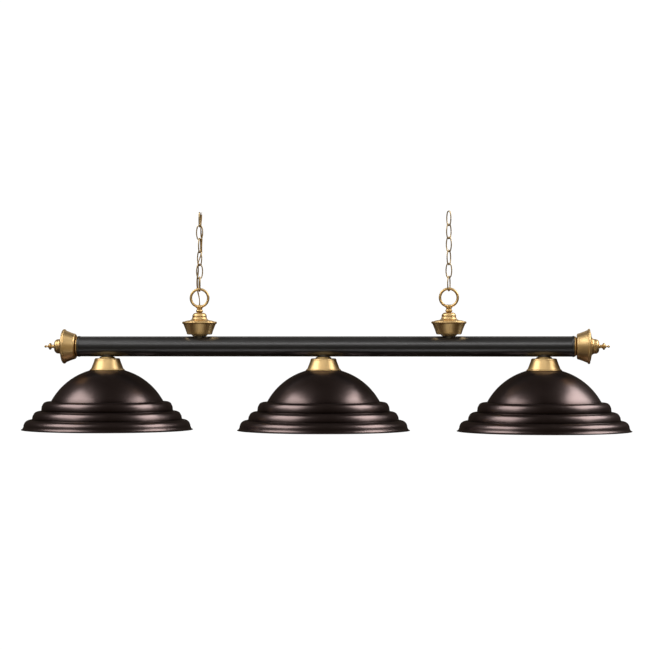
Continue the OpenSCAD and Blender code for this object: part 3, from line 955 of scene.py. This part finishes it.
def make_shades():
    """Shades with bronze outside and enamel inside."""
    facets = 192
    for side in LIGHTS:
        node = f"{side}_shade"
        place = light_place(side)
        near, far, radius = reach(node, place)
        outer, inner = shade_outline(near, far, radius)
        shade = spun(f"{node}_spun", outer + inner[::-1], facets)
        shade.data.materials.append(MATERIALS["bronze_shade"])
        shade.data.materials.append(MATERIALS["shade_enamel"])
        for polygon in shade.data.polygons:
            polygon.material_index = 1 if polygon.index // facets >= len(outer) else 0
        stand_in(shade, node, "bronze_shade", place)


make_shades()


# ---------------------------------------------------------------- sockets and bulbs
def add_thread(piece, radius, low, high, pitch, depth):
    """Raises a helical thread on the vertices that lie at a radius between two heights."""
    band = 0.35 * MM
    fade = 1.2 * MM
    for vertex in piece.data.vertices:
        x, y, z = vertex.co
        r = hypot(x, y)
        if abs(r - radius) > band or not low < z < high:
            continue
        ease = min(1, (z - low) / fade, (high - z) / fade)
        lift = depth * (0.5 + 0.5 * cos(2 * pi * z / pitch - atan2(y, x))) * ease
        vertex.co = Vector((x, y, 0)) * ((r + lift) / r) + Vector((0, 0, z))


def rows(low, high, spacing):
    """Heights from low to high, about every spacing."""
    count = max(1, round((high - low) / spacing))
    return [low + (high - low) * i / count for i in range(count + 1)]


def make_socket_body(side):
    """Moulded socket, open at its far end and threaded outside for the shade ring."""
    node = f"{side}_socket_body"
    place = light_place(side)
    near, far, radius = reach(node, place)
    root = 18.8 * MM
    bore = 14.6 * MM
    floor = near + 14 * MM
    thread_low, thread_high, pitch = near + 5 * MM, near + 27 * MM, 3.2 * MM
    chamfer, outer_edge, inner_edge = 0.6 * MM, 1.2 * MM, 1.0 * MM
    wall = [(root, z) for z in rows(near + chamfer, thread_high + 1 * MM, 0.35 * MM)]
    outline = ([(0, near), (root - chamfer, near)] + wall
               + arc((root - outer_edge, far - outer_edge), outer_edge, 0, 90, 5)
               + arc((bore + inner_edge, far - inner_edge), inner_edge, 90, 180, 4)
               + [(bore, floor), (0, floor)])
    body = spun(f"{node}_moulded", outline, MOULDED)
    add_thread(body, root, thread_low, thread_high, pitch, radius - root)
    stand_in(body, node, "phenolic", place)


def make_shade_ring(side):
    """Ring that holds the shade, with finger notches round its grip."""
    node = f"{side}_shade_ring"
    place = light_place(side)
    near, far, radius = reach(node, place)
    bore = 19.5 * MM
    notches = 24
    notch = 0.7 * MM
    outline = rounded([
        (bore, near, 0.3 * MM), (radius, near, 0.5 * MM), (radius, near + 1.8 * MM, 0.5 * MM),
        (radius - 2.4 * MM, near + 2.3 * MM, 0.5 * MM), (radius - 3.2 * MM, far, 0.7 * MM),
        (bore, far, 0.4 * MM)])
    ring = spun(f"{node}_moulded", outline, notches * 8)
    for vertex in ring.data.vertices:
        x, y, z = vertex.co
        r = hypot(x, y)
        if r > radius - 3.4 * MM and z > near + 2.1 * MM:
            groove = max(0, cos(notches * atan2(y, x))) ** 2 * notch
            vertex.co = Vector((x, y, 0)) * ((r - groove) / r) + Vector((0, 0, z))
    stand_in(ring, node, "phenolic", place)


def make_bulb_glass(side):
    """Frosted globe that runs in to a neck."""
    place = light_place(side)
    node = f"{side}_bulb_glass"
    near, far, globe = reach(node, place)
    neck = 13 * MM
    wall = 0.8 * MM
    low = near + 4 * MM
    centre = far - globe
    below = 36                 # degrees under the globe's middle where its shoulder starts
    curl = 1.6                 # above 1, the shoulder curves inward
    steps = 12
    join = centre - globe * sin(radians(below))
    shoulder = globe * cos(radians(below))
    outer = arc((0, centre), globe, 90, -below, 28)
    for left in [1 - i / steps for i in range(1, steps + 1)]:
        outer.append((neck + (shoulder - neck) * left ** curl, low + (join - low) * left))
    outer += [(neck, near)]
    inner = beside(outer, -wall)
    inner[0] = (0, outer[0][1] - wall)
    stand_in(spun(f"{node}_blown", outer + inner[::-1], MOULDED), node, "bulb_glass", place)


def make_bulb_base(side):
    """Medium screw base: contact button, insulating cone, rolled thread and collar."""
    place = light_place(side)
    node = f"{side}_bulb_base"
    near, far, radius = reach(node, place)
    core = 12.35 * MM
    collar = 13.1 * MM
    button = 3.4 * MM
    pitch = 3.63 * MM
    depth = radius - core - 0.1 * MM
    wall = [(core, z) for z in rows(near + 5 * MM, far - 2.2 * MM, 0.4 * MM)]
    outline = ([(0, near), (button, near)] + arc((button, near + 1 * MM), 1 * MM, -60, 10, 4)
               + [(5 * MM, near + 1.6 * MM), (8 * MM, near + 3 * MM), (11.4 * MM, near + 4.4 * MM)]
               + wall + [(collar, far - 1.5 * MM), (collar, far), (0, far)])
    base = spun(f"{node}_rolled", outline, MOULDED)
    add_thread(base, core, near + 5.2 * MM, far - 2.4 * MM, pitch, depth)
    stand_in(base, node, "bulb_metal", place)


for light in LIGHTS:
    make_socket_body(light)
    make_shade_ring(light)
    make_bulb_glass(light)
    make_bulb_base(light)


# ---------------------------------------------------------------- pieces kept from the frame
KEPT = {
    "saddles": "black_tube", "threaded_nipples": "cast_brass", "lock_nuts": "steel",
    "end_rods": "steel", "centre_contacts": "cast_brass", "terminal_screws": "steel",
    "splice_sleeves": "sleeve_plastic", "lead_wires": "wire_insulation",
    "socket_cap": "phenolic", "screw_shell": "cast_brass"}


def dress_kept_nodes():
    """Gives every CAD node that still shows its material."""
    for name, piece in frame["nodes"].items():
        if piece.hide_render:
            continue
        side, _, rest = name.partition("_")
        kind = rest if side in LIGHTS else name
        piece.data.materials.clear()
        piece.data.materials.append(MATERIALS[KEPT[kind]])


dress_kept_nodes()


# ---------------------------------------------------------------- studio
def make_floor():
    """Pale floor under the lamp that runs out to white."""
    drop = 0.95
    size = 60
    fade_from, fade_to = 0.5, 1.1
    work = bmesh.new()
    bmesh.ops.create_grid(work, x_segments=1, y_segments=1, size=size)
    floor = finish_mesh("floor", work)
    floor.location.z = AXIS_Z - drop
    s = Shader("floor")
    parts = s.add("SeparateXYZ", {0: s.place()}).outputs
    squares = s.maths("ADD", s.maths("POWER", parts[0], 2.0), s.maths("POWER", parts[1], 2.0))
    away = s.add("MapRange", {0: s.maths("SQRT", squares), 1: fade_from, 2: fade_to},
                 interpolation_type="SMOOTHSTEP").outputs[0]
    pale = s.mix(s.noise(3, 4, 0.6), rgb(0.80, 0.80, 0.79), rgb(0.84, 0.84, 0.83))
    s.set(Base_Color=s.mix(away, pale, rgb(0, 0, 0)), Roughness=0.8,
          Specular_IOR_Level=s.spread(away, 0.3, 0.0),
          Emission_Color=rgb(1, 1, 1), Emission_Strength=s.spread(away, 0.45, 1.05))
    floor.data.materials.append(s.material)
    floor.visible_glossy = False
    floor.visible_diffuse = False


def make_world():
    """White to the eye, and dim and warm as a light."""
    seen, cast = 1.05, 0.035
    world = bpy.data.worlds.new("studio")
    world.use_nodes = True
    tree = world.node_tree
    tree.nodes.clear()
    out = tree.nodes.new("ShaderNodeOutputWorld")
    choose = tree.nodes.new("ShaderNodeMixShader")
    dim = tree.nodes.new("ShaderNodeBackground")
    white = tree.nodes.new("ShaderNodeBackground")
    path = tree.nodes.new("ShaderNodeLightPath")
    dim.inputs["Color"].default_value = rgb(1, 0.76, 0.56)
    dim.inputs["Strength"].default_value = cast
    white.inputs["Color"].default_value = rgb(1, 1, 1)
    white.inputs["Strength"].default_value = seen
    tree.links.new(path.outputs["Is Camera Ray"], choose.inputs[0])
    tree.links.new(dim.outputs[0], choose.inputs[1])
    tree.links.new(white.outputs[0], choose.inputs[2])
    tree.links.new(choose.outputs[0], out.inputs["Surface"])
    bpy.context.scene.world = world


def softbox(name, azimuth, elevation, distance, width, height, radiance):
    """Area light that faces the lamp, with its bearing from the camera in degrees and its sizes in metres."""
    aim_below_bar = 0.1
    turn = CAMERA_AZIMUTH + radians(azimuth)
    rise = radians(elevation)
    away = Vector((sin(turn) * cos(rise), -cos(turn) * cos(rise), sin(rise)))
    lamp = bpy.data.objects.new(name, bpy.data.lights.new(name, "AREA"))
    lamp.data.shape = "RECTANGLE"
    lamp.data.size, lamp.data.size_y = width, height
    lamp.data.energy = radiance * pi * width * height
    lamp.location = Vector((0, 0, AXIS_Z - aim_below_bar)) + away * distance
    lamp.rotation_euler = (-away).to_track_quat("-Z", "Y").to_euler()
    lamp.visible_camera = False
    bpy.context.scene.collection.objects.link(lamp)
    return lamp


def spare(lamp, pieces):
    """Keeps a light that is meant for the brass off the pieces named."""
    spared = bpy.data.collections.new(f"{lamp.name}_spared")
    for name in pieces:
        spared.objects.link(bpy.data.objects[name])
    for member in spared.collection_objects:
        member.light_linking.link_state = "EXCLUDE"
    lamp.light_linking.receiver_collection = spared


def make_lights():
    """Two side boxes draw the shades' highlights. Four of the other lights are kept off the shades."""
    softbox("left_box", -72, 40, 5.0, 3.8, 2.6, 3.9)
    softbox("right_box", 88, 38, 5.0, 3.8, 2.6, 4.9)
    softbox("low_front", 0, -44, 4.0, 3.5, 1.0, 1.1)
    back = softbox("back", 180, 35, 5.0, 4.0, 2.0, 0.5)
    top_front = softbox("top_front", 0, 34, 5.0, 4.0, 1.5, 1.7)
    high_front = softbox("high_front", 0, 72, 4.5, 4.0, 1.2, 1.6)
    warm_fill = softbox("warm_fill", 0, -5, 5.0, 8.0, 5.0, 0.22)
    warm_fill.data.color = (1, 0.80, 0.45)
    shades = [f"{side}_shade_spun" for side in LIGHTS]
    spare(back, shades)
    spare(top_front, shades)
    spare(high_front, shades + ["tube_drawn"])
    spare(warm_fill, shades + ["tube_drawn"])


make_floor()
make_world()
make_lights()
bpy.context.scene.view_settings.view_transform = "Standard"
